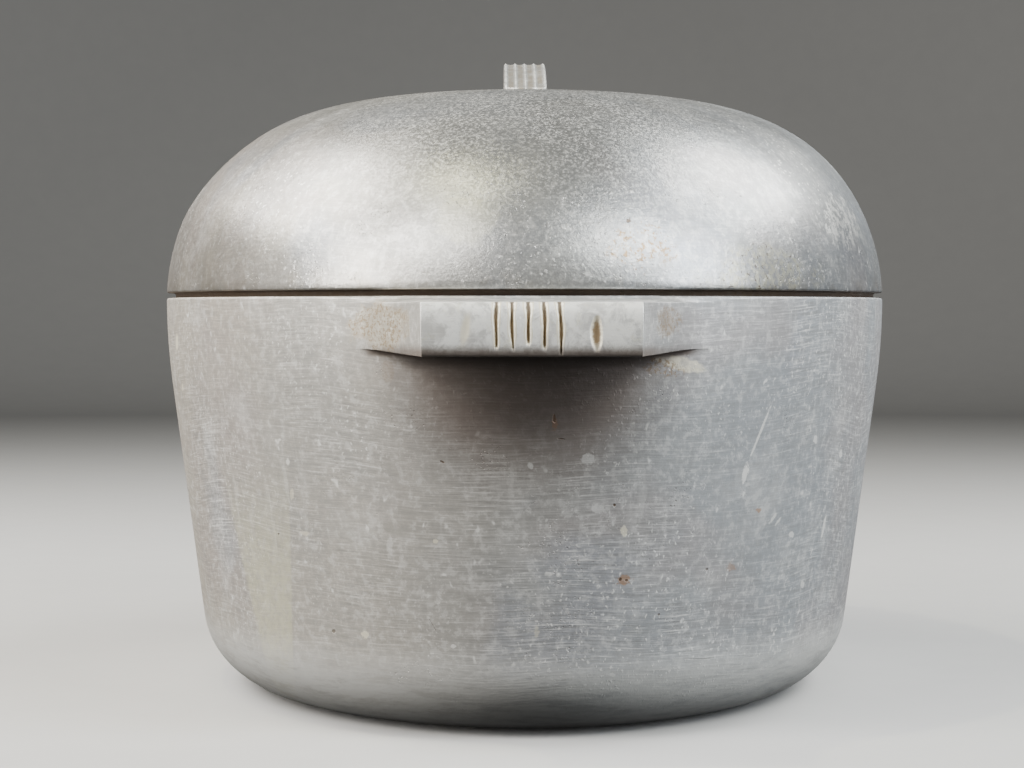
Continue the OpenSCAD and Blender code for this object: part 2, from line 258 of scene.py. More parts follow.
def groove_cut(x, height):
    """Depth of the grooves, nick and dent of one face at x, at a share of the face's height."""
    cut = np.zeros_like(x)
    for i, (low, lean) in enumerate(zip(GROOVE_ENDS, GROOVE_LEANS)):
        wander = GROOVE_WANDER * np.sin(7 * height + i)
        middle = (i - 2) * GROOVE_PITCH + GROOVE_SHIFT + lean * (height - 0.5) + wander
        width = 0.62 + 0.30 * smooth(height, low, low + 0.3) + 0.25 * smooth(height, 0.7, 1.0)
        off = np.abs(x - middle) / (GROOVE_HALF * (width + 0.12 * np.sin(11 * height + 2.1 * i)))
        run = smooth(height, low - 0.02, low + 0.10)
        cut += GROOVE_DEPTH * run * np.clip(1 - off ** 2, 0, 1) ** 0.7
        cut -= GROOVE_BURR * run * np.exp(-((off - 1.4) / 0.3) ** 2)
    lens = np.abs(x - NICK_X - 0.9 * MM * np.abs(height - 0.5)) / NICK_HALF
    span = np.clip(1 - ((height - 0.43) / 0.34) ** 2, 0, 1)
    cut += NICK_DEPTH * np.clip(span - lens ** 2, 0, 1) ** 0.6
    slant = DENT_X + 2.4 * MM * (height - 0.5)
    cut += DENT_DEPTH * np.exp(-((x - slant) / DENT_HALF) ** 2 - ((height - 0.5) / 0.26) ** 2)
    return cut


def handle_rings():
    """Rings from under the handle, over its face and back along its top to the rim."""
    x = HALF_W * SIN * -OUTWARD
    reach = np.clip(DEPTH / (8 * MM), 0, 1)
    top_bulge = (FLARE_BULGE + (FACE_BULGE - FLARE_BULGE) * FACE) * reach
    low_bulge = (FLARE_BULGE + (LOW_BULGE - FLARE_BULGE) * FACE) * reach
    lift = FLARE_LIFT * smooth(np.abs(x), FACE_HALF, FLARE_HALF)
    pocket = POCKET_DEPTH * (1 - smooth(np.abs(x), POCKET_HALF - 3 * MM, POCKET_HALF)) * (FACE > 0)
    rings = []
    # Out along the underside, hollow in the middle
    for q in np.linspace(0, 1, 30)[1:-1]:
        hollow = smooth(q, 0.05, 0.16) * (1 - smooth(q, 0.74, 0.82))
        z = GRIP_LOW - UNDER_FILLET * (0.85 * (1 - q) ** 4 + 0.15 * (1 - q)) + pocket * hollow + lift
        rings.append(handle_ring((DEPTH - low_bulge) * q, z))
    # Up over the face
    wave = EDGE_WAVE * np.sin(x / (7 * MM) + 1.2) * FACE
    for turn in np.linspace(-90, 90, 39):
        s, c = turned(turn)
        rise = math.copysign(abs(s) ** 0.85, s)
        height = 0.5 + 0.5 * rise
        z = GRIP_LOW + GRIP_T * height + wave * (0.5 - abs(height - 0.5)) + lift * (1 - height)
        bulge = low_bulge if turn < 0 else top_bulge
        out = DEPTH - bulge * (1 - max(c, 0) ** 0.62)
        out = out - groove_cut(x, height) * (FACE > 0) * smooth(height, -0.2, 0.02)
        rings.append(handle_ring(out, z))
    # Back along the top to the rim
    for q in np.linspace(1, 0, 14)[1:]:
        z = GRIP_TOP + (RIM_Z - EDGE - GRIP_TOP) * (0.8 * (1 - q) ** 3 + 0.2 * (1 - q))
        near = groove_cut(x, 1.0) * (FACE > 0) * smooth(q, 0.72, 1.0)
        rings.append(handle_ring((DEPTH - top_bulge) * q, z - 0.5 * near))
    return rings


def pan_rings():
    """Rings from the middle of the base up the outside, over the rim and down the inside."""
    # Base, foot and wall
    rings = [oval_ring(pan_outside(0) * share, 0, OVAL) for share in (0.25, 0.6, 0.9)]
    for a in np.linspace(0, 90, 15):
        z = BASE_ROUND * (1 - math.cos(math.radians(a)))
        rings.append(oval_ring(pan_outside(z), z, OVAL))
    for z in np.linspace(BASE_ROUND, GRIP_LOW - UNDER_FILLET, 26)[1:]:
        rings.append(oval_ring(pan_outside(z), z, OVAL))
    rings += handle_rings()
    # Rim, ledge and shelf
    ledge = RIM_Z - LEDGE_DROP
    lip = HALF_W - RIM_LIP
    shelf = HALF_W - LEDGE_IN
    for a in (30, 60, 90):
        s, c = turned(a)
        rings.append(oval_ring(HALF_W - EDGE + EDGE * c, RIM_Z - EDGE + EDGE * s, OVAL))
    for a in (90, 60, 30, 0):
        s, c = turned(a)
        rings.append(oval_ring(lip + EDGE - EDGE * c, RIM_Z - EDGE + EDGE * s, INSIDE_OVAL))
    rings.append(oval_ring(lip, ledge + EDGE, INSIDE_OVAL))
    rings.append(oval_ring(lip - 0.3 * EDGE, ledge + 0.1 * EDGE, INSIDE_OVAL))
    rings.append(oval_ring(lip - EDGE, ledge, INSIDE_OVAL))
    for a in (90, 60, 30, 0):
        s, c = turned(a)
        rings.append(oval_ring(shelf + EDGE - EDGE * c, ledge - EDGE + EDGE * s, INSIDE_OVAL))
    # Inside
    inner_round = BASE_ROUND - WALL
    for z in np.linspace(ledge - 3 * MM, FLOOR + inner_round, 22):
        rings.append(oval_ring(pan_inside(z), z, INSIDE_OVAL))
    for a in np.linspace(90, 0, 12)[1:]:
        z = FLOOR + inner_round * (1 - math.cos(math.radians(a)))
        rings.append(oval_ring(pan_inside(z), z, INSIDE_OVAL))
    rings += [oval_ring(pan_inside(FLOOR) * share, FLOOR, INSIDE_OVAL) for share in (0.9, 0.6, 0.25)]
    return rings


def keep_cuts(pan):
    """Keeps how deep each point lies in a groove, as a share of the full depth, for the material."""
    points = np.array([v.co for v in pan.data.vertices])
    x = -points[:, 0] * np.sign(points[:, 1])
    height = (points[:, 2] - GRIP_LOW) / GRIP_T
    near = smooth(np.abs(points[:, 1]), GRIP_FRONT - 9 * MM, GRIP_FRONT - 3 * MM)
    near = near * smooth(height, -0.03, 0.01) * (np.abs(x) < FACE_HALF)
    share = groove_cut(x, np.clip(height, 0, 1)) / GROOVE_DEPTH * near
    pan.data.attributes.new("cut", "FLOAT", "POINT").data.foreach_set("value", share.astype(np.float32))


def make_pan():
    pan = loft("pan_casting", pan_rings(), (0, 0, 0), (0, 0, FLOOR))
    keep_cuts(pan)
    return stand_for(pan, "pan", "pan_casting", "pan")


# ---------------------------------------------------------------- lid
def dome_rise(share):
    """Height of a dome over its edge, as a share of its rise, at a share of its half width."""
    up = max(0.0, 1 - share ** DOME_SIDE) ** (1 / DOME_CROWN)
    return max(0.0, 1 - (share / (1 - DOME_LEAN * up)) ** DOME_SIDE) ** (1 / DOME_CROWN)


def dome_rings(half_w, rise, sin, cos, stretch, low=0.0):
    """Rings of a dome from its edge up to near its crown."""
    rings = []
    # By angle up the side, then by half width in millimetres over the crown
    angles = [90 * (1 - (1 - i / 44) ** 1.25) for i in range(40)]
    for a in angles:
        up = math.sin(math.radians(a)) ** (2 / DOME_CROWN)
        out = math.cos(math.radians(a)) ** (2 / DOME_SIDE) * (1 - DOME_LEAN * up)
        if rise * up >= low and half_w * out > CROWN_R:
            rings.append(oval_ring(half_w * out, LID_Z + rise * up, stretch, sin, cos))
    for r in list(np.arange(45, 19, -0.75)) + [17, 14, 10, 6, 2.5]:
        rings.append(oval_ring(r * MM, LID_Z + rise * dome_rise(r * MM / half_w), stretch, sin, cos))
    return rings


def pad_shape(points):
    """Share of a handle pad at each point: a rounded oblong under each foot."""
    foot_mid = BRIDGE_HALF_LEN - FOOT_LEN / 2
    x = np.abs(points[:, 0]) / (BRIDGE_HALF_W + 1.3 * MM)
    y = np.abs(np.abs(points[:, 1]) - foot_mid) / (FOOT_LEN / 2 + 1.8 * MM)
    edge = (x ** 6 + y ** 6) ** (1 / 6)
    return 1 - smooth(edge, 0.93, 1.06)


def boss_shape(points):
    """Share of a screw boss at each point: a disc round each screw inside the lid."""
    out = np.hypot(points[:, 0], np.abs(points[:, 1]) - SCREW_Y)
    return 1 - smooth(out, BOSS_R - 1.2 * MM, BOSS_R)


def slump(ring):
    """Draws one long shoulder of the dome in a little; the casting isn't quite even."""
    rise = (ring[:, 2] - LID_Z) / LID_RISE
    ring[:, 0] *= 1 - SLUMP * smooth(rise, 0.35, 0.85) * smooth(-ring[:, 0], 16 * MM, 60 * MM)


def lid_rings():
    """Rings from the crown's inside down to the skirt, round it and up over the outside."""
    turns = np.linspace(0, 2 * np.pi, LID_COLUMNS, endpoint=False)
    sin, cos = np.sin(turns), -np.cos(turns)
    # Outside, with the handle's pads
    outside = dome_rings(HALF_W, LID_RISE, sin, cos, OVAL)[1:]
    for ring in outside:
        slump(ring)
        share = pad_shape(ring)
        ring[:, 2] += share * (PAD_Z - ring[:, 2])
    rings = outside[::-1]
    # Lower edge and skirt
    for a in (0, 30, 60, 90):
        s, c = turned(a)
        rings.append(oval_ring(HALF_W - EDGE + EDGE * c, LID_Z + EDGE - EDGE * s, OVAL, sin, cos))
    rings.append(oval_ring(SKIRT_OUT + EDGE, LID_Z, INSIDE_OVAL, sin, cos))
    rings.append(oval_ring(SKIRT_OUT, LID_Z - EDGE, INSIDE_OVAL, sin, cos))
    skirt_low = LID_LOW.z
    for a in (0, 45, 90):
        s, c = turned(a)
        z = skirt_low + EDGE - EDGE * s
        rings.append(oval_ring(SKIRT_OUT - EDGE + EDGE * c, z, INSIDE_OVAL, sin, cos))
    for a in (90, 45, 0):
        s, c = turned(a)
        z = skirt_low + EDGE - EDGE * s
        rings.append(oval_ring(SKIRT_IN + EDGE - EDGE * c, z, INSIDE_OVAL, sin, cos))
    # Inside, with the screws' bosses
    inner_w, inner_rise = HALF_W - LID_WALL, LID_RISE - LID_WALL
    meet = inner_rise * dome_rise(SKIRT_IN / inner_w)
    rings += [oval_ring(SKIRT_IN, LID_Z + meet * t, INSIDE_OVAL, sin, cos) for t in (0.1, 0.5, 0.9)]
    inside = dome_rings(inner_w, inner_rise, sin, cos, INSIDE_OVAL, meet * 1.04)
    for ring in inside:
        slump(ring)
        share = boss_shape(ring)
        ring[:, 2] += share * (BOSS_Z - ring[:, 2])
    return (rings + inside)[::-1]


def make_lid():
    lid = loft("lid_casting", lid_rings(), (0, 0, CROWN_Z - LID_WALL), (0, 0, CROWN_Z))
    return stand_for(lid, "lid", "lid_casting", "lid")


# ---------------------------------------------------------------- lid handle
def bridge_top():
    """Across the bridge's top: (x, drop below the crest), with hollow flutes between narrow ridges."""
    points = []
    steps = FLUTES * FLUTE_STEPS
    for i in range(steps + 1):
        across = abs(2 * (i / FLUTE_STEPS % 1) - 1)
        points.append((BRIDGE_FLAT * (2 * i / steps - 1), FLUTE_DEEP * (1 - across ** 2.5)))
    return points


def make_lid_handle():
    """The bridge: an arch on two flat feet, in rings from its front end to its rear end."""
    rise = HANDLE_HIGH.z - PAD_Z
    radius = (BRIDGE_HALF_LEN ** 2 + rise ** 2) / (2 * rise)
    inner = radius - BRIDGE_T
    axis_z = HANDLE_HIGH.z - radius
    foot_y = BRIDGE_HALF_LEN - FOOT_LEN
    top = bridge_top()
    rings = []
    # Shares of the length, closer together near each end
    near_end = np.linspace(0, 1, 9)[1:] * 0.05
    for s in (*near_end, *np.linspace(0.05, 0.95, 121)[1:], *(1 - near_end[-2::-1])):
        y = BRIDGE_HALF_LEN * (2 * s - 1)
        end = BRIDGE_HALF_LEN - abs(y)
        # Crest and underside, which is flat under each foot
        crest = min(axis_z + math.sqrt(radius ** 2 - y * y), HANDLE_HIGH.z)
        arch = axis_z + math.sqrt(inner ** 2 - y * y) if abs(y) < foot_y + 4 * MM else PAD_Z
        foot = float(smooth(abs(y), foot_y - 3.5 * MM, foot_y + 1.5 * MM))
        low = arch + (PAD_Z - arch) * foot
        crest = max(crest, PAD_Z + 1.0 * MM)
        # Section: a fluted top, rounded corners and a flat bottom, narrower at the very end
        narrow = 1 - 0.16 * (1 - float(smooth(end, 0, 7 * MM))) ** 2
        side = BRIDGE_HALF_W * narrow
        corner = min(0.9 * MM, (crest - low) * 0.3)
        fade = float(smooth(end, 2 * MM, 8 * MM))
        ring = [(x * narrow, y, crest - drop * (0.25 + 0.75 * fade)) for x, drop in top]
        ring += [(side - 0.25 * corner, y, crest - 0.3 * corner), (side, y, crest - corner)]
        ring += [(side, y, low + corner), (side - 0.3 * corner, y, low + 0.3 * corner)]
        flat = side - corner
        ring += [(flat * k, y, low) for k in (1, 0.6, 0.2, -0.2, -0.6, -1)]
        ring += [(-side + 0.3 * corner, y, low + 0.3 * corner), (-side, y, low + corner)]
        ring += [(-side, y, crest - corner), (-side + 0.25 * corner, y, crest - 0.3 * corner)]
        rings.append(np.array(ring))
    start = rings[0].mean(axis=0)
    finish = rings[-1].mean(axis=0)
    start[1], finish[1] = -BRIDGE_HALF_LEN, BRIDGE_HALF_LEN
    handle = loft("bridge_handle", rings, start, finish)
    return stand_for(handle, "lid", "handle_casting", "lid_handle")


# ---------------------------------------------------------------- material nodes
BUMP_HEIGHT = 0.2 * MM


class Nodes:
    """Short calls for building one material's node tree."""

    def __init__(self, name):
        self.material = bpy.data.materials.new(name)
        self.material.use_nodes = True
        self.tree = self.material.node_tree
        self.shader = self.tree.nodes["Principled BSDF"]
        self.place = self.add("ShaderNodeTexCoord").outputs["Object"]
        split = self.add("ShaderNodeSeparateXYZ", Vector=self.place)
        self.x, self.y, self.z = split.outputs
        self.made = {}

    def add(self, kind, settings=None, **inputs):
        """A new node with these settings, and with a value or a link on each input named."""
        node = self.tree.nodes.new(kind)
        for key, value in (settings or {}).items():
            setattr(node, key, value)
        for key, value in inputs.items():
            self.join(value, node.inputs[key.replace("_", " ")])
        return node

    def join(self, value, socket):
        if isinstance(value, bpy.types.NodeSocket):
            self.tree.links.new(value, socket)
        else:
            socket.default_value = value

    def math(self, operation, *values):
        node = self.add("ShaderNodeMath", {"operation": operation})
        for value, socket in zip(values, node.inputs):
            self.join(value, socket)
        return node.outputs[0]

    def times(self, *values):
        result = values[0]
        for value in values[1:]:
            result = self.math("MULTIPLY", result, value)
        return result

    def plus(self, *values):
        result = values[0]
        for value in values[1:]:
            result = self.math("ADD", result, value)
        return result

    def ramp(self, value, low, high, to_low=0.0, to_high=1.0):
        """An even ease from to_low where value is low to to_high where it is high."""
        node = self.add("ShaderNodeMapRange", {"interpolation_type": "SMOOTHSTEP"})
        for socket, number in zip(node.inputs, (value, low, high, to_low, to_high)):
            self.join(number, socket)
        return node.outputs[0]

    def stretch(self, sx, sy, sz):
        node = self.add("ShaderNodeMapping", Vector=self.place)
        node.inputs["Scale"].default_value = (sx, sy, sz)
        return node.outputs[0]

    def noise(self, scale, detail=3.0, rough=0.55, warp=0.0, at=None):
        """Noise over the piece, made once for each set of numbers, or at a place given."""
        key = (scale, detail, rough, warp)
        if at is None and key in self.made:
            return self.made[key]
        node = self.add("ShaderNodeTexNoise", Vector=at or self.place, Scale=scale, Detail=detail,
                        Roughness=rough, Distortion=warp)
        if at is None:
            self.made[key] = node.outputs["Fac"]
        return node.outputs["Fac"]

    def warped(self, scales, amount, size):
        """The place, pushed about by soft noise of the given amount and size, then scaled."""
        push = self.add("ShaderNodeTexNoise", Vector=self.place, Scale=1 / size, Detail=1.0)
        shift = self.add("ShaderNodeVectorMath", {"operation": "MULTIPLY_ADD"})
        self.tree.links.new(push.outputs["Color"], shift.inputs[0])
        shift.inputs[1].default_value = (amount, amount, amount)
        self.tree.links.new(self.place, shift.inputs[2])
        node = self.add("ShaderNodeMapping", Vector=shift.outputs[0])
        node.inputs["Scale"].default_value = scales
        return node.outputs[0]

    def dots(self, scale, low, high, tall=1.0):
        """Ragged dots on a jittered grid, taller than wide if asked: 1 in their middle."""
        at = self.warped((scale, scale, scale / tall), 1.2 / scale, 0.7 / scale)
        node = self.add("ShaderNodeTexVoronoi", Vector=at, Scale=1.0)
        return self.ramp(node.outputs["Distance"], high, low)

    def blend(self, share, a, b):
        """Colour a where share is 0, b where it is 1."""
        node = self.add("ShaderNodeMix", {"data_type": "RGBA"})
        self.join(share, node.inputs["Factor"])
        self.join(a, node.inputs[6])
        self.join(b, node.inputs[7])
        return node.outputs[2]

    def spot(self, centre, size, rag=0.35, grain=90.0, tilt=0.0):
        """A ragged patch: 1 inside an ellipsoid of the given half sizes, 0 outside."""
        node = self.add("ShaderNodeMapping", {"vector_type": "TEXTURE"}, Vector=self.place)
        node.inputs["Location"].default_value = centre
        node.inputs["Rotation"].default_value = (0, tilt, 0)
        node.inputs["Scale"].default_value = size
        far = self.add("ShaderNodeVectorMath", {"operation": "LENGTH"})
        self.tree.links.new(node.outputs[0], far.inputs[0])
        jitter = self.math("MULTIPLY_ADD", self.noise(grain, 4.0, 0.65), rag * 4, -rag * 2)
        return self.ramp(self.math("ADD", far.outputs["Value"], jitter), 1.05, 0.75)

    def finish(self, base, rough, height, metallic=1.0, bump=1.0):
        """Joins colour, roughness and bump to the shader and hands over the material."""
        self.join(base, self.shader.inputs["Base Color"])
        self.join(rough, self.shader.inputs["Roughness"])
        self.shader.inputs["Metallic"].default_value = metallic
        node = self.add("ShaderNodeBump", Height=height, Strength=bump, Distance=BUMP_HEIGHT)
        self.join(node.outputs[0], self.shader.inputs["Normal"])
        return self.material


def colour(r, g, b):
    return (r, g, b, 1.0)


# Metal tones, then deposits and dirt, and colours that also paint light and shade
WARM = colour(0.55, 0.505, 0.43)
PLAIN = colour(0.455, 0.455, 0.44)
COOL = colour(0.40, 0.43, 0.46)
PINK = colour(0.475, 0.42, 0.405)
BLUE = colour(0.375, 0.42, 0.495)
CHALK = colour(0.90, 0.90, 0.87)
DULL = colour(0.27, 0.27, 0.26)
GRIME = colour(0.10, 0.065, 0.04)
STAIN = colour(0.33, 0.22, 0.11)
RUST = colour(0.42, 0.19, 0.05)
FILM = colour(0.68, 0.66, 0.48)
CREAM = colour(0.92, 0.87, 0.70)
POLISHED = colour(0.98, 0.99, 0.95)
# Brown for the grime and painted shadow under the handles
GRIME_AND_SHADOW = colour(0.17, 0.135, 0.115)
TAN = colour(0.30, 0.25, 0.17)


def old_aluminium(n, brushed, pitted, polish=0.0):
    """The finish the castings share: (colour, roughness, height) sockets of aged satin aluminium, with
    painted warm light on its -X side.

    brushed is the strength of the fine lines, pitted adds flecks and pits, polish lowers the roughness.
    """
    # Broad tone: painted light, lighter and warmer towards -X and darker and cooler towards +X, mixed by
    # noise, with pinkish and bluish areas
    tone = n.plus(n.times(n.x, 3.4), n.times(n.noise(9.0, 4.0), 0.8))
    base = n.blend(n.ramp(tone, -0.05, 0.42), WARM, PLAIN)
    base = n.blend(n.ramp(tone, 0.30, 0.80), base, COOL)
    base = n.blend(n.ramp(n.noise(15.0, 3.0, 0.5, 0.4), 0.50, 0.68, 0.0, 0.45), base, PINK)
    base = n.blend(n.ramp(n.noise(21.0, 3.0, 0.5, 0.3), 0.52, 0.68, 0.0, 0.45), base, BLUE)
    # Dull clouds and pale bloom
    cloud = n.noise(24.0, 6.0, 0.62, 0.6)
    base = n.blend(n.ramp(cloud, 0.48, 0.74, 0.0, 0.30), base, DULL)
    bloom = n.noise(46.0, 5.0, 0.6)
    base = n.blend(n.ramp(bloom, 0.50, 0.72, 0.0, 0.30), base, CHALK)
    # Fine lines round the casting, faint upright streaks and a fine mottle
    grain = n.noise(1.0, 3.0, 0.7, at=n.warped((70, 70, 1900), 12 * MM, 80 * MM))
    sweep = n.noise(1.0, 3.0, 0.65, at=n.warped((30, 30, 700), 12 * MM, 60 * MM))
    streaks = n.noise(1.0, 3.0, 0.65, at=n.warped((330, 330, 9), 3 * MM, 80 * MM))
    worn = n.ramp(n.noise(20.0, 3.0), 0.35, 0.65, 0.35, 1.0)
    brush = n.times(n.plus(n.times(grain, 0.65), n.times(sweep, 0.35)), worn)
    base = n.blend(n.times(n.ramp(grain, 0.54, 0.36, 0.0, 0.62 * brushed), worn), base, DULL)
    base = n.blend(n.times(n.ramp(grain, 0.54, 0.70, 0.0, 0.85 * brushed), worn), base, CHALK)
    base = n.blend(n.ramp(sweep, 0.52, 0.34, 0.0, 0.15 * brushed), base, DULL)
    mottle = n.noise(1.0, 4.0, 0.7, at=n.warped((330, 330, 330), 2 * MM, 9 * MM))
    base = n.blend(n.ramp(mottle, 0.50, 0.64, 0.0, 0.32), base, CHALK)
    base = n.blend(n.ramp(mottle, 0.50, 0.38, 0.0, 0.20), base, DULL)
    base = n.blend(n.ramp(streaks, 0.54, 0.70, 0.0, 0.12), base, CHALK)
    base = n.blend(n.ramp(streaks, 0.46, 0.30, 0.0, 0.06), base, DULL)
    # Pale flecks and spots where they crowd together, and dark pits
    crowd = n.noise(17.0, 4.0, 0.6)
    flecks = n.times(n.dots(560.0, 0.08, 0.30, 1.4), n.ramp(crowd, 0.46 - 0.08 * pitted, 0.64))
    spots = n.times(n.dots(230.0, 0.06, 0.24, 1.5),
                    n.ramp(n.noise(60.0, 3.0), 0.53 - 0.03 * pitted, 0.60))
    base = n.blend(n.times(n.plus(flecks, spots), 0.75), base, CHALK)
    pits = n.times(n.dots(950.0, 0.06, 0.26),
                   n.ramp(n.noise(55.0, 3.0), 0.62 - 0.12 * pitted, 0.74 - 0.10 * pitted))
    base = n.blend(n.times(pits, 0.6), base, GRIME)
    rough = n.plus(n.ramp(cloud, 0.35, 0.75, 0.40 - polish, 0.50 - polish), n.times(brush, 0.10),
                   n.times(n.plus(flecks, spots), 0.12))
    height = n.plus(
        n.times(brush, 0.55 * brushed), n.times(n.noise(800.0, 3.0, 0.6), 0.30),
        n.times(n.noise(120.0, 4.0, 0.55), 0.25), n.times(pits, -0.9), n.times(flecks, 0.2))
    return base, rough, height


def on_wall(x, z, end=-1):
    """A point on the pan's outside near one end, at x across and z up."""
    half_w = pan_outside(z)
    return (x, end * half_w * OVAL * math.sqrt(1 - (x / half_w) ** 2), z)


def handle_stains(n, end):
    """Round one end handle: a stain on each flare, a pale deposit, its brown flecks, and a smudge."""
    middle = (GRIP_LOW + GRIP_TOP) / 2
    left = n.spot((end * 43 * MM, end * (end_y(43 * MM) + 4 * MM), middle + 1 * MM),
                  (13 * MM, 18 * MM, 8 * MM), 0.35, 160.0)
    right = n.spot((-end * 40 * MM, end * (end_y(40 * MM) + 6 * MM), middle + 2 * MM),
                   (4.5 * MM, 16 * MM, 5 * MM), 0.35, 160.0)
    tilt = -end * math.radians(15)
    pale = n.spot(on_wall(-end * 45 * MM, GRIP_LOW - 2.6 * MM, end),
                  (9 * MM, 12 * MM, 2.4 * MM), 0.35, 150.0, tilt)
    flecks = n.spot(on_wall(-end * 39 * MM, GRIP_LOW - 3.6 * MM, end),
                    (8 * MM, 12 * MM, 3.0 * MM), 0.5, 150.0, tilt)
    smudge = n.spot(on_wall(end * 42 * MM, GRIP_LOW - 5 * MM, end),
                    (2.2 * MM, 9 * MM, 3.6 * MM), 0.3, 90.0)
    return left, right, pale, flecks, smudge


# Marks on the front wall, in millimetres and degrees: (x, z, half width, half height, tilt, strength)
CREAM_MARKS = (
    (-50, 32, 1.2, 1.4, 0, 0.9), (-28, 62, 0.9, 0.7, 0, 0.7), (28, 65, 1.1, 1.6, 0, 0.8),
    (-73, 74, 0.7, 2.0, 0, 0.5), (-69, 62, 1.7, 0.8, 0, 0.5), (-117, 120, 0.9, 3.0, 6, 0.8),
    (-115, 105, 0.6, 1.4, 0, 0.7), (2, 35, 0.8, 1.9, 0, 0.4),
)
WHITE_MARKS = (
    (71, 94, 0.45, 9.0, 23, 0.8), (66, 81, 1.0, 3.3, 12, 0.95), (17, 87, 2.3, 1.7, 0, 0.35),
    (20, 72, 2.0, 1.5, 0, 0.45), (0, 85, 0.9, 0.9, 0, 0.4), (102, 84, 0.8, 1.5, 0, 0.8),
    (91, 90, 0.9, 1.4, 0, 0.8), (83, 60, 1.1, 1.0, 0, 0.7), (76, 66, 0.5, 2.2, 40, 0.7),
    (78, 65, 0.4, 1.8, 40, 0.6), (96, 61, 0.5, 4.2, 12, 0.9), (88, 43, 0.9, 1.3, 0, 0.7),
    (25, 21, 1.0, 0.8, 0, 0.8), (33, 18, 1.2, 0.8, 0, 0.8), (-23, 30, 1.0, 0.7, 0, 0.8),
    (-42, 60, 1.1, 3.0, 0, 0.35), (-48, 84, 5.6, 0.25, 8, 0.5),
)
DARK_MARKS = (
    (25, 73, 0.45, 0.45, 0, 0.9), (39, 39, 0.4, 0.4, 0, 0.7), (54, 52, 0.45, 0.45, 0, 0.6),
    (7, 99, 0.5, 1.3, 0, 0.55), (9, 93, 1.2, 0.3, 5, 0.6), (-26, 86, 0.8, 0.3, 25, 0.8),
    (-78, 61, 0.4, 0.4, 0, 0.8), (-60, 32, 0.7, 0.7, 0, 0.6), (27, 50.3, 0.5, 0.6, 0, 0.9),
    (28.8, 50, 0.55, 0.45, 0, 0.8), (-29, 36, 0.2, 2.4, -30, 0.35), (52, 24, 5.0, 0.15, 4, 0.3),
)
# The same without a tilt
RUST_MARKS = (
    (28, 50, 2.3, 1.5, 0.55), (71, 69, 0.9, 0.8, 0.55), (62, 52, 1.8, 1.3, 0.35), (7, 98, 0.9, 2.2, 0.25),
)
MARK_DEEP = 8 * MM


def marks_on_wall(n, base, height):
    """The drips, spots, pits and rust marks listed above, and a pale film that widens downward."""
    # The film's left edge leans and its right edge is upright
    left = n.math("MULTIPLY_ADD", n.z, 0.234, n.x)
    film = n.times(n.ramp(left, -80.5 * MM, -79 * MM), n.ramp(n.x, -73.6 * MM, -74.4 * MM),
                   n.ramp(n.z, 92 * MM, 40 * MM), n.ramp(n.y, -60 * MM, -70 * MM),
                   n.ramp(n.noise(420.0, 4.0, 0.7), 0.38, 0.58, 0.45, 1.0))
    base = n.blend(n.times(film, 0.72), base, FILM)
    for tint, marks in ((CREAM, CREAM_MARKS), (CHALK, WHITE_MARKS)):
        for x, z, half_w, half_h, tilt, strength in marks:
            mark = n.spot(on_wall(x * MM, z * MM), (half_w * MM, MARK_DEEP, half_h * MM),
                          0.45, 800.0, math.radians(tilt))
            base = n.blend(n.times(mark, strength), base, tint)
    for x, z, half_w, half_h, strength in RUST_MARKS:
        mark = n.spot(on_wall(x * MM, z * MM), (half_w * MM, MARK_DEEP, half_h * MM), 0.7, 900.0)
        base = n.blend(n.times(mark, strength), base, RUST)
    for x, z, half_w, half_h, tilt, strength in DARK_MARKS:
        mark = n.spot(on_wall(x * MM, z * MM), (half_w * MM, MARK_DEEP, half_h * MM),
                      0.3, 900.0, math.radians(tilt))
        base = n.blend(n.times(mark, strength), base, GRIME)
        height = n.plus(height, n.times(mark, -0.8))
    return base, height


def handle_grime_and_shadow(n):
    """Brown grime and painted shadow under the handles, narrower further down, and a line of painted
    shadow under each flare.
    """
    across = n.math("ABSOLUTE", n.x)
    below = n.math("SUBTRACT", GRIP_LOW, n.z)
    # Painted shadow cast by each handle, with brown grime, narrowing downward
    cone = n.times(n.ramp(n.plus(across, n.times(below, 0.5)), 57 * MM, 29 * MM),
                   n.ramp(below, 54 * MM, 14 * MM), n.ramp(below, -4 * MM, -1 * MM),
                   n.ramp(n.noise(30.0, 3.0), 0.2, 0.5, 0.75, 1.0))
    # A line of painted shadow under each flare
    under = n.plus(below, n.ramp(across, FACE_HALF, FLARE_HALF, 0.0, FLARE_LIFT))
    line = n.times(n.ramp(under, 3.6 * MM, 0.6 * MM), n.ramp(under, -0.1 * MM, 0.1 * MM),
                   n.ramp(across, 52 * MM, 46 * MM))
    return n.math("MAXIMUM", n.times(cone, 0.88), n.times(line, 0.9))


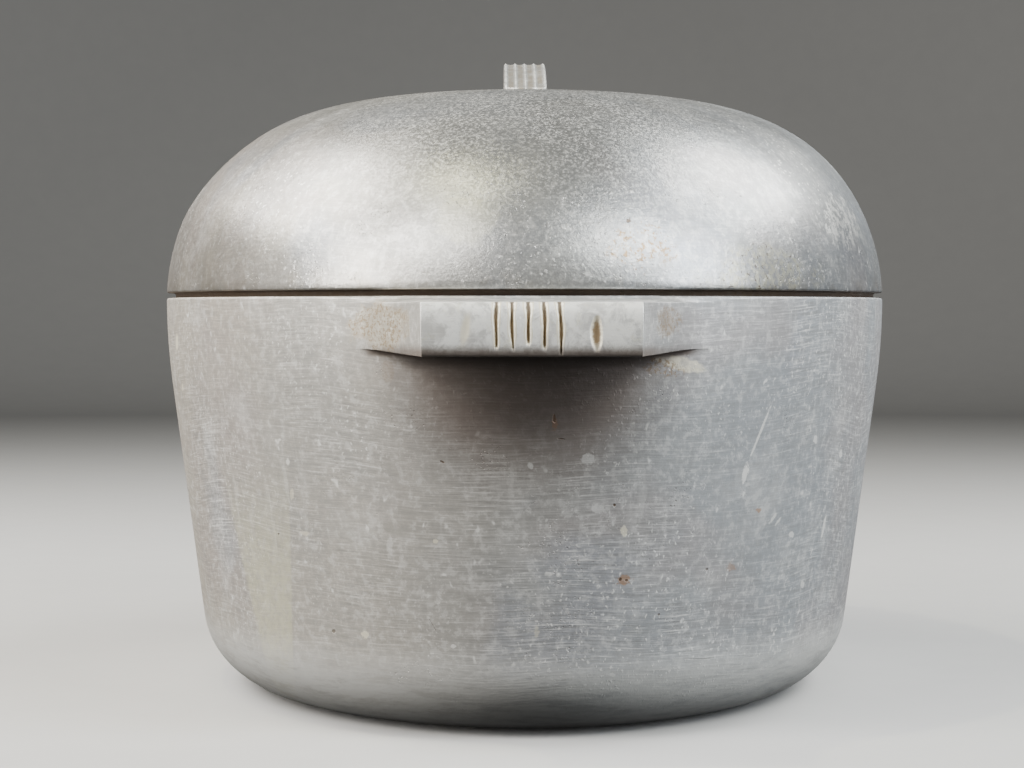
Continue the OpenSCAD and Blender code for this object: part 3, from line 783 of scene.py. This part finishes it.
def pan_material():
    """The pan: handle faces partly rubbed and partly painted bright, a foot painted bright as painted
    light, stained flares, dirty grooves with painted highlights on their edges, grime and painted shadow
    under the handles, and a marked wall.
    """
    n = Nodes("aged_cast_pan")
    base, rough, height = old_aluminium(n, 1.0, 0.4)
    speckle = n.ramp(n.noise(880.0, 5.0, 0.8), 0.48, 0.57)
    smear = n.ramp(n.noise(140.0, 4.0, 0.6, 0.5), 0.42, 0.60)
    # Handle faces painted bright: partly rubbed metal, partly painted light
    worn_and_lit_face = n.times(n.ramp(n.math("ABSOLUTE", n.y), GRIP_FRONT - 7 * MM, GRIP_FRONT - 4.5 * MM),
                        n.ramp(n.z, GRIP_LOW - 0.5 * MM, GRIP_LOW + 1.5 * MM))
    patina = n.ramp(n.noise(150.0, 5.0, 0.7, 0.8), 0.38, 0.56, 0.35, 1.0)
    base = n.blend(n.times(worn_and_lit_face, patina), base, POLISHED)
    base = n.blend(n.times(worn_and_lit_face, n.ramp(n.noise(240.0, 4.0, 0.7), 0.56, 0.70), 0.35), base, FILM)
    lower = n.times(worn_and_lit_face, n.ramp(n.z, GRIP_LOW + 5 * MM, GRIP_LOW),
                    n.ramp(n.noise(520.0, 4.0, 0.7), 0.50, 0.60))
    base = n.blend(n.times(lower, 0.55), base, DULL)
    # Stains round the handles
    for end in (-1, 1):
        left, right, pale, flecks, smudge = handle_stains(n, end)
        # The left flare painted lighter and creamier under its stain
        base = n.blend(n.times(left, 0.30), base, CREAM)
        base = n.blend(n.times(left, smear, 0.30), base, STAIN)
        base = n.blend(n.times(left, speckle, 0.75), base, STAIN)
        base = n.blend(n.times(right, smear, 0.30), base, STAIN)
        base = n.blend(n.times(right, speckle, 0.60), base, STAIN)
        base = n.blend(n.times(smudge, 0.25), base, STAIN)
        cover = n.ramp(n.noise(260.0, 4.0, 0.7), 0.35, 0.55, 0.45, 1.0)
        base = n.blend(n.times(pale, cover), base, CREAM)
        base = n.blend(n.times(flecks, speckle, 0.8), base, STAIN)
    # Grooves: pale edges painted as highlights, and brown dirt in the bottom
    cut = n.add("ShaderNodeAttribute", {"attribute_name": "cut"}).outputs["Fac"]
    ragged = n.plus(cut, n.times(n.math("SUBTRACT", n.noise(520.0, 4.0, 0.7), 0.5), 0.9))
    tint = n.blend(n.ramp(n.z, GRIP_LOW + 0.55 * GRIP_T, GRIP_TOP - 1 * MM), STAIN, GRIME)
    # Painted highlight on the groove edges
    base = n.blend(n.times(n.ramp(cut, 0.02, 0.20), 0.9), base, CREAM)
    base = n.blend(n.times(n.ramp(ragged, 0.42, 0.85), n.ramp(cut, 0.2, 0.4), 0.9), base, tint)
    # Painted highlight on the raised lips beside each groove
    base = n.blend(n.ramp(cut, -0.005, -0.06), base, CREAM)
    # Runs, frost, brown grime with painted shadow under the handles, and single marks on the wall
    drips = n.noise(1.0, 4.0, 0.6, 0.3, at=n.stretch(130, 130, 7))
    runs = n.times(n.ramp(drips, 0.62, 0.70), n.ramp(n.noise(12.0, 3.0), 0.48, 0.62))
    base = n.blend(n.times(runs, 0.35), base, CHALK)
    frost = n.times(n.dots(420.0, 0.10, 0.34, 1.3),
                    n.spot(on_wall(82 * MM, 24 * MM), (15 * MM, 20 * MM, 10 * MM), 0.6))
    base = n.blend(n.times(frost, 0.9), base, CHALK)
    # Brown grime and painted shadow under the handles
    base = n.blend(handle_grime_and_shadow(n), base, GRIME_AND_SHADOW)
    base, height = marks_on_wall(n, base, height)
    # Foot painted bright in fine lines, as painted light from below
    foot = n.times(n.ramp(n.z, 32 * MM, 12 * MM), n.ramp(n.z, 1 * MM, 4 * MM))
    lines = n.noise(1.0, 4.0, 0.7, at=n.warped((60, 60, 420), 12 * MM, 60 * MM))
    foot_light_lines = n.ramp(lines, 0.36, 0.56, 0.68, 1.0)
    base = n.blend(n.times(foot, foot_light_lines, 0.95), base, POLISHED)
    # Inside, dulled by cooking
    inside = n.math("LESS_THAN", inward(n), 0.965)
    cooked = n.ramp(n.noise(18.0, 5.0, 0.6, 1.0), 0.35, 0.7, 0.25, 0.8)
    base = n.blend(n.times(inside, cooked), base, DULL)
    return n.finish(base, rough, height, metallic=0.35)


def inward(n):
    """Distance from the upright axis, as a share of the pan's outside at the same height."""
    across = n.math("DIVIDE", n.x, HALF_W)
    along = n.math("DIVIDE", n.y, HALF_LEN)
    out = n.math("SQRT", n.plus(n.times(across, across), n.times(along, along)))
    lean = n.times(n.math("SUBTRACT", RIM_Z - BEND, n.z), LEAN / HALF_W)
    return n.plus(out, n.math("MAXIMUM", lean, 0.0), n.ramp(n.z, BASE_ROUND, 0.0, 0.0, 1.0))


def lid_material():
    """The lid: smoother than the pan, scoured over its crown and chipped along its shoulders, with a
    painted dark reflection down its middle and a painted highlight of the lamp.
    """
    n = Nodes("aged_cast_lid")
    base, rough, height = old_aluminium(n, 0.30, 0.8, 0.13)
    # Crown, dull and scoured, and a strip down the middle painted darker as a painted reflection
    crown = n.times(n.ramp(n.z, LID_Z + 0.25 * LID_RISE, LID_Z + 0.8 * LID_RISE, 0.3, 1.0),
                    n.ramp(n.math("ABSOLUTE", n.x), 70 * MM, 25 * MM, 0.30, 1.0))
    # A painted dark reflection down the middle of the lid
    base = n.blend(n.times(n.ramp(n.math("ABSOLUTE", n.x), 44 * MM, 18 * MM), 0.45), base, DULL)
    scour = n.noise(1.0, 3.0, 0.75, at=n.warped((950, 950, 950), 0.6 * MM, 3 * MM))
    cover = n.ramp(n.noise(70.0, 4.0, 0.6), 0.34, 0.60, 0.45, 1.0)
    base = n.blend(n.times(n.ramp(scour, 0.48, 0.62), crown, cover, 0.85), base, CHALK)
    base = n.blend(n.times(n.ramp(scour, 0.50, 0.38), crown, cover, 0.60), base, DULL)
    # Shoulders, with pale chips and water marks
    shoulder = n.times(n.ramp(n.math("ABSOLUTE", n.x), 40 * MM, 75 * MM),
                       n.ramp(n.noise(26.0, 3.0), 0.46, 0.60))
    chips = n.times(n.dots(330.0, 0.08, 0.32, 0.6), shoulder)
    base = n.blend(n.times(shoulder, 0.30), base, DULL)
    base = n.blend(n.times(chips, 0.95), base, CHALK)
    rings = n.times(n.ramp(n.noise(150.0, 5.0, 0.7, 1.5), 0.54, 0.66),
                    n.ramp(n.noise(22.0, 3.0), 0.45, 0.6))
    base = n.blend(n.times(rings, 0.35), base, CHALK)
    # Single marks towards the front, and a painted highlight of the lamp
    patch = n.spot((103 * MM, -100 * MM, LID_Z + 24 * MM), (9 * MM, 60 * MM, 10 * MM), 0.5, 90.0)
    base = n.blend(n.times(patch, n.ramp(n.noise(330.0, 4.0, 0.7), 0.46, 0.56), 0.9), base, CHALK)
    brown = n.spot((33 * MM, -160 * MM, LID_Z + 13 * MM), (11 * MM, 60 * MM, 8 * MM), 0.6, 90.0)
    base = n.blend(n.times(brown, n.ramp(n.noise(620.0, 4.0, 0.75), 0.52, 0.60), 0.9), base, STAIN)
    yellow = n.spot((68 * MM, -150 * MM, LID_Z + 6 * MM), (20 * MM, 60 * MM, 9 * MM), 0.5, 60.0)
    base = n.blend(n.times(yellow, n.ramp(n.noise(480.0, 4.0, 0.7), 0.42, 0.60), 0.55), base, FILM)
    base = n.blend(n.times(yellow, n.ramp(n.noise(640.0, 3.0, 0.7), 0.60, 0.66), 0.8), base, GRIME)
    # A painted yellowish highlight of the lamp
    lamp_highlight = n.spot((-20 * MM, -165 * MM, LID_Z + 20 * MM), (8 * MM, 60 * MM, 9 * MM), 0.5, 60.0)
    base = n.blend(n.times(lamp_highlight, 0.22), base, FILM)
    pit = n.spot((29 * MM, -180 * MM, LID_Z + 20.5 * MM), (0.9 * MM, 40 * MM, 0.8 * MM), 0.6, 700.0)
    base = n.blend(n.times(pit, 0.85), base, GRIME)
    # Stains along the lower edge, and the skirt below the seam painted dark brown
    foot = n.times(n.ramp(n.z, LID_Z + 7 * MM, LID_Z + 1 * MM),
                   n.ramp(n.noise(110.0, 4.0, 0.65), 0.48, 0.62))
    base = n.blend(n.times(foot, 0.22), base, TAN)
    seam = n.ramp(n.z, LID_Z + 0.5 * MM, LID_Z - 0.1 * MM)
    base = n.blend(n.times(seam, 0.9), base, GRIME)
    rough = n.plus(rough, n.times(seam, 0.3), n.times(n.ramp(scour, 0.50, 0.62), crown, 0.10))
    height = n.plus(height, n.times(scour, crown, 0.9))
    return n.finish(base, rough, height, metallic=0.72)


def small_parts_material():
    """Rivets and feet, with the castings' finish."""
    n = Nodes("aged_small_parts")
    base, rough, height = old_aluminium(n, 0.4, 0.7)
    return n.finish(base, rough, height, metallic=0.5)


def bridge_material():
    """The handle's casting, with grime in the flutes and painted highlights along the ridges between
    them.
    """
    n = Nodes("aged_cast_handle")
    base, rough, height = old_aluminium(n, 0.4, 0.7)
    base = n.blend(0.25, base, DULL)
    valley = n.math("PINGPONG", n.math("MULTIPLY_ADD", n.x, FLUTES / (2 * BRIDGE_FLAT), FLUTES / 2), 0.5)
    wear = n.ramp(n.noise(260.0, 4.0, 0.65), 0.38, 0.56, 0.35, 1.0)
    base = n.blend(n.times(n.ramp(valley, 0.12, 0.34), wear, 0.60), base, TAN)
    # Ridges painted bright: painted highlights
    base = n.blend(n.times(n.ramp(valley, 0.10, 0.02), wear), base, POLISHED)
    return n.finish(base, rough, height, metallic=0.5)


def sheet_material():
    """Rolled aluminium sheet: faint lines along the oval and water marks."""
    n = Nodes("rolled_sheet")
    lines = n.noise(1.0, 4.0, 0.6, at=n.stretch(900, 12, 900))
    marks = n.noise(75.0, 5.0, 0.65, 0.5)
    base = n.blend(n.ramp(marks, 0.45, 0.72, 0.0, 0.35), colour(0.66, 0.66, 0.64), DULL)
    base = n.blend(n.ramp(lines, 0.55, 0.70, 0.0, 0.3), base, CHALK)
    rough = n.ramp(marks, 0.35, 0.70, 0.30, 0.46)
    height = n.plus(n.times(lines, 0.5), n.times(n.noise(200.0, 3.0), 0.3))
    return n.finish(base, rough, height, bump=0.5)


def steel_material(name, tint, fine):
    """Worn steel: fine lines, dull patches and a little brown in them."""
    n = Nodes(name)
    wear = n.noise(160.0, 5.0, 0.65, 0.5)
    base = n.blend(n.ramp(wear, 0.45, 0.70, 0.0, 0.7), tint, colour(0.27, 0.25, 0.23))
    rust = n.ramp(n.noise(420.0, 4.0, 0.7), 0.60, 0.70, 0.0, 0.6)
    base = n.blend(rust, base, colour(0.25, 0.13, 0.06))
    lines = n.noise(fine, 3.0, 0.6)
    rough = n.ramp(wear, 0.35, 0.70, 0.24, 0.45)
    return n.finish(base, rough, n.plus(lines, n.times(wear, 0.5)), bump=0.4)


# ---------------------------------------------------------------- assembly
def paint(obj, material):
    """Gives an object this one material."""
    obj.data.materials.clear()
    obj.data.materials.append(material)


def dress():
    """Makes the castings and gives every CAD node that stays the look of its slot."""
    paint(make_pan(), pan_material())
    paint(make_lid(), lid_material())
    paint(make_lid_handle(), bridge_material())
    steel = steel_material("worn_steel", colour(0.52, 0.52, 0.53), 1400.0)
    wire = steel_material("drawn_wire", colour(0.58, 0.58, 0.58), 2200.0)
    sheet = sheet_material()
    small = small_parts_material()
    looks = {"steel": steel, "wire": wire, "trivet_sheet": sheet, "clip": sheet,
             "rivet": small, "foot": small}
    slots = {part["node"]: part["material_slot"] for part in frame["record"]["subparts"]}
    for node, obj in frame["nodes"].items():
        if slots[node] in looks:
            paint(obj, looks[slots[node]])


# ---------------------------------------------------------------- floor, light and camera
FLOOR_SIDES = 96
LIGHT_AWAY = 1.25
SKY = colour(0.90, 0.90, 0.91)
SKY_STRENGTH = 0.03

# Camera: its place in half widths of the rim, its aim in degrees and its lens in millimetres
CAMERA_LEFT, CAMERA_BACK, CAMERA_DROP = 0.082, 7.51, 0.035
CAMERA_DOWN, CAMERA_TURN = 1.59, -0.37
SENSOR, LENS = 36, 92.5

# Soft boxes: (name, turn from the front, tilt, size, power, tint)
SOFT_BOXES = (
    ("left_low", -64, 15, (0.5, 0.75), 15.7, (1.0, 0.96, 0.91)),
    ("right_low", 64, 15, (0.5, 0.75), 11.9, (0.93, 0.965, 1.0)),
    ("left_front", -38, 34, (0.45, 0.45), 9.7, (1.0, 0.97, 0.93)),
    ("right_front", 40, 34, (0.45, 0.45), 10.0, (0.99, 1.0, 0.97)),
    ("left_high", -106, 40, (0.95, 0.7), 20.0, (1.0, 0.965, 0.915)),
    ("right_high", 108, 42, (0.9, 0.7), 16.5, (0.99, 1.0, 0.98)),
    ("lamp", -50, 65, (0.03, 0.03), 3.4, (1.0, 0.95, 0.60)),
)


def make_floor():
    """A pale floor that curves up to a wall far out all round."""
    flat, wall, bend_r = 2.4, 3.0, 0.8
    sweep = [(flat * k, 0.0) for k in (0.1, 0.4, 0.7)]
    sweep += [(flat + bend_r * s, bend_r * (1 - c)) for s, c in map(turned, range(0, 91, 10))]
    sweep.append((flat + bend_r, wall))
    turns = np.linspace(0, 2 * np.pi, FLOOR_SIDES, endpoint=False)
    rings = [np.stack([r * np.cos(turns), r * np.sin(turns), np.full(FLOOR_SIDES, z)], axis=1)
             for r, z in sweep]
    floor = loft("studio_floor", rings, (0, 0, 0))
    n = Nodes("pale_floor")
    tone = n.blend(n.noise(40.0, 4.0), colour(0.58, 0.58, 0.575), colour(0.62, 0.62, 0.61))
    paint(floor, n.finish(tone, 0.85, n.noise(300.0), metallic=0.0, bump=0.1))
    floor.visible_diffuse = False
    floor.visible_glossy = False


def soft_light(name, place, aim, size, power, tint):
    data = bpy.data.lights.new(name, "AREA")
    data.shape = "RECTANGLE"
    data.size, data.size_y = size
    data.energy = power
    data.color = tint
    light = bpy.data.objects.new(name, data)
    light.location = place
    light.rotation_euler = (Vector(aim) - Vector(place)).to_track_quat("-Z", "Y").to_euler()
    light.visible_camera = False
    bpy.context.scene.collection.objects.link(light)


def make_light():
    """Soft boxes aimed at the rim's middle, low and high at both sides and raised at the front."""
    middle = Vector((0, 0, RIM_Z))
    for name, turn, tilt, size, power, tint in SOFT_BOXES:
        turn, tilt = math.radians(turn), math.radians(tilt)
        way = Vector((math.cos(tilt) * math.sin(turn), -math.cos(tilt) * math.cos(turn), math.sin(tilt)))
        soft_light(name, middle + LIGHT_AWAY * way, middle, size, power, tint)
    world = bpy.data.worlds.new("studio")
    world.use_nodes = True
    background = world.node_tree.nodes["Background"]
    background.inputs["Color"].default_value = SKY
    background.inputs["Strength"].default_value = SKY_STRENGTH
    bpy.context.scene.world = world


def make_camera():
    """Looks along the oval from just under the rim, a little to the left of the middle."""
    data = bpy.data.cameras.new("camera")
    data.sensor_width = SENSOR
    data.lens = LENS
    data.clip_end = 20
    camera = bpy.data.objects.new("camera", data)
    camera.location = (-CAMERA_LEFT * HALF_W, -CAMERA_BACK * HALF_W, RIM_Z - CAMERA_DROP * HALF_W)
    camera.rotation_euler = (math.radians(90 - CAMERA_DOWN), 0, math.radians(CAMERA_TURN))
    bpy.context.scene.collection.objects.link(camera)
    bpy.context.scene.camera = camera


dress()
make_floor()
make_light()
make_camera()
